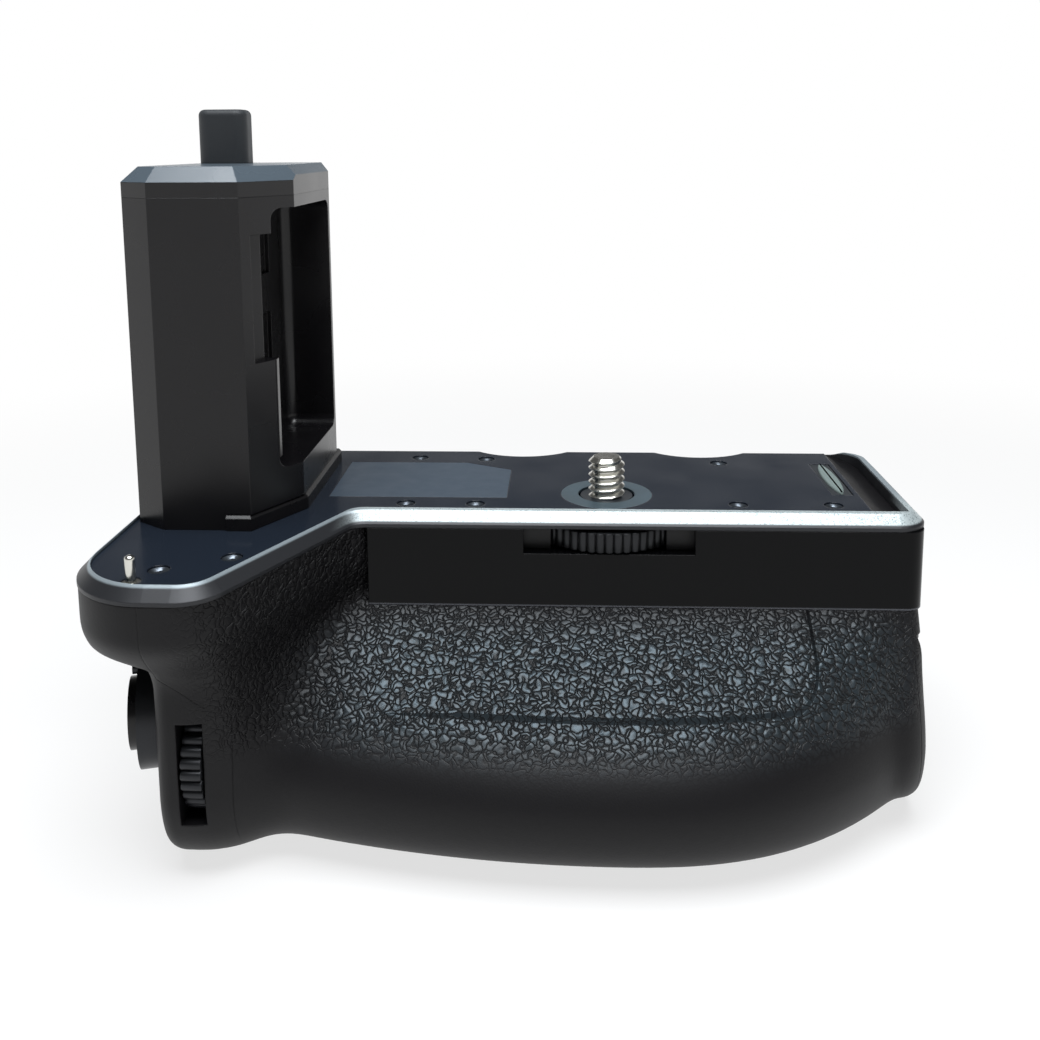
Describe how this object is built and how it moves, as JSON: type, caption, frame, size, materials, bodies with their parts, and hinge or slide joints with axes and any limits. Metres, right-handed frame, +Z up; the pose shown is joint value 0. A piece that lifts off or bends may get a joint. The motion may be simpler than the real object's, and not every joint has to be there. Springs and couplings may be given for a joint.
{
  "type": "camera hand grip",
  "caption": "Vertical battery grip for a camera: a deck with clamp screw and thumbwheel, a battery-shaped stalk, and a moulded handle with its own shutter button and dials.",
  "frame": {"origin": "where the clamp screw's axis meets the deck's top face", "axes": "+Z up along the clamp screw towards the camera, +X along the grip's length towards the battery door, -Y towards the front of the handle"},
  "size_m": [0.1333, 0.0795, 0.1182],
  "materials": {
    "body_plastic": "fine satin moulded black plastic",
    "gloss_plastic": "polished black plastic",
    "leatherette": "wrinkled black leatherette",
    "rim_paint": "pale speckled paint",
    "rubber": "soft black rubber",
    "steel": "turned nickel-plated steel",
    "dark_metal": "black anodised",
    "board": "coated circuit board",
    "contact": "gold-plated contact",
    "pale_strip": "pale speckled cushion"
  },
  "bodies": {
    "grip_body": {"front_grip_cover": "leatherette", "rear_thumb_cover": "leatherette", "front_shell": "body_plastic", "rear_shell": "body_plastic", "front_fascia": "gloss_plastic", "chassis": "body_plastic", "screw_bush": "contact", "end_cap": "body_plastic", "bay_ceiling": "body_plastic", "deck_rim": "rim_paint", "rear_rim_strip": "rim_paint", "deck_plate": "gloss_plastic", "label_plate": "dark_metal", "cushion_strip": "pale_strip", "ring_plate": "steel", "deck_screws": "dark_metal", "locating_pin": "dark_metal", "stalk_shell": "body_plastic", "stalk_top_cap": "body_plastic", "stalk_plinth": "body_plastic", "storage_catch": "body_plastic", "connector_block": "body_plastic", "connector_contacts": "contact", "base_plate": "body_plastic", "base_screws": "dark_metal", "base_rubber_pad": "rubber", "tripod_socket": "steel", "circuit_board": "board", "rear_switch_board": "board", "bay_contacts": "contact", "shutter_switch": "body_plastic", "front_dial_axle": "steel", "rear_dial_axle": "steel", "joystick_base": "dark_metal"},
    "clamp_wheel": {"thumbwheel": "dark_metal", "camera_screw": "steel"},
    "on_off_ring": {"on_off_ring": "dark_metal"},
    "shutter_button": {"shutter_button": "steel"},
    "front_dial": {"front_dial": "dark_metal"},
    "rear_dial": {"rear_dial": "dark_metal"},
    "focus_button": {"focus_button": "body_plastic"},
    "exposure_lock_button": {"exposure_lock_button": "body_plastic"},
    "custom_button": {"custom_button": "body_plastic"},
    "joystick_yoke": {"joystick_yoke": "dark_metal"},
    "joystick_cap": {"joystick_cap": "rubber"},
    "battery_tray": {"battery_tray": "body_plastic", "battery_door": "body_plastic", "tray_contacts": "contact"},
    "turn_latch": {"turn_latch": "body_plastic"},
    "connector_cap": {"connector_cap": "rubber"}
  },
  "joints": [
    {"name": "clamp_wheel_turn", "type": "hinge", "parent": "grip_body", "child": "clamp_wheel", "pos_m": [0, 0, -0.0043], "axis": [0, 0, 1], "continuous": true},
    {"name": "on_off_turn", "type": "hinge", "parent": "grip_body", "child": "on_off_ring", "pos_m": [-0.07154, -0.026, -0.0276], "axis": [-0.9613, -0.2756, 0], "range_deg": [0, 35]},
    {"name": "shutter_press", "type": "slide", "parent": "grip_body", "child": "shutter_button", "axis": [0.9613, 0.2756, 0], "range_m": [0, 0.0012], "stiffness_N_per_m": 400},
    {"name": "front_dial_turn", "type": "hinge", "parent": "grip_body", "child": "front_dial", "pos_m": [-0.0631, -0.0295, -0.0316], "axis": [1, 0, 0], "continuous": true},
    {"name": "rear_dial_turn", "type": "hinge", "parent": "grip_body", "child": "rear_dial", "pos_m": [-0.0695, 0.0236, -0.0085], "axis": [0, 0, 1], "continuous": true},
    {"name": "focus_button_press", "type": "slide", "parent": "grip_body", "child": "focus_button", "axis": [0, -1, 0], "range_m": [0, 0.0007], "stiffness_N_per_m": 400},
    {"name": "exposure_lock_button_press", "type": "slide", "parent": "grip_body", "child": "exposure_lock_button", "axis": [0, -1, 0], "range_m": [0, 0.0007], "stiffness_N_per_m": 400},
    {"name": "custom_button_press", "type": "slide", "parent": "grip_body", "child": "custom_button", "axis": [0, -1, 0], "range_m": [0, 0.0007], "stiffness_N_per_m": 400},
    {"name": "joystick_tilt", "type": "hinge", "parent": "grip_body", "child": "joystick_yoke", "pos_m": [-0.022, 0.0226, -0.009], "axis": [1, 0, 0], "range_deg": [-8, 8]},
    {"name": "joystick_swing", "type": "hinge", "parent": "joystick_yoke", "child": "joystick_cap", "pos_m": [-0.022, 0.0226, -0.009], "axis": [0, 0, 1], "range_deg": [-8, 8]},
    {"name": "tray_slide", "type": "slide", "parent": "grip_body", "child": "battery_tray", "axis": [1, 0, 0], "range_m": [0, 0.105]},
    {"name": "latch_turn", "type": "hinge", "parent": "battery_tray", "child": "turn_latch", "pos_m": [0.05, 0.0058, -0.03285], "axis": [1, 0, 0], "range_deg": [0, 90]},
    {"name": "cap_lift", "type": "slide", "parent": "grip_body", "child": "connector_cap", "axis": [0, 0, 1], "range_m": [0, 0.012]}
  ]
}
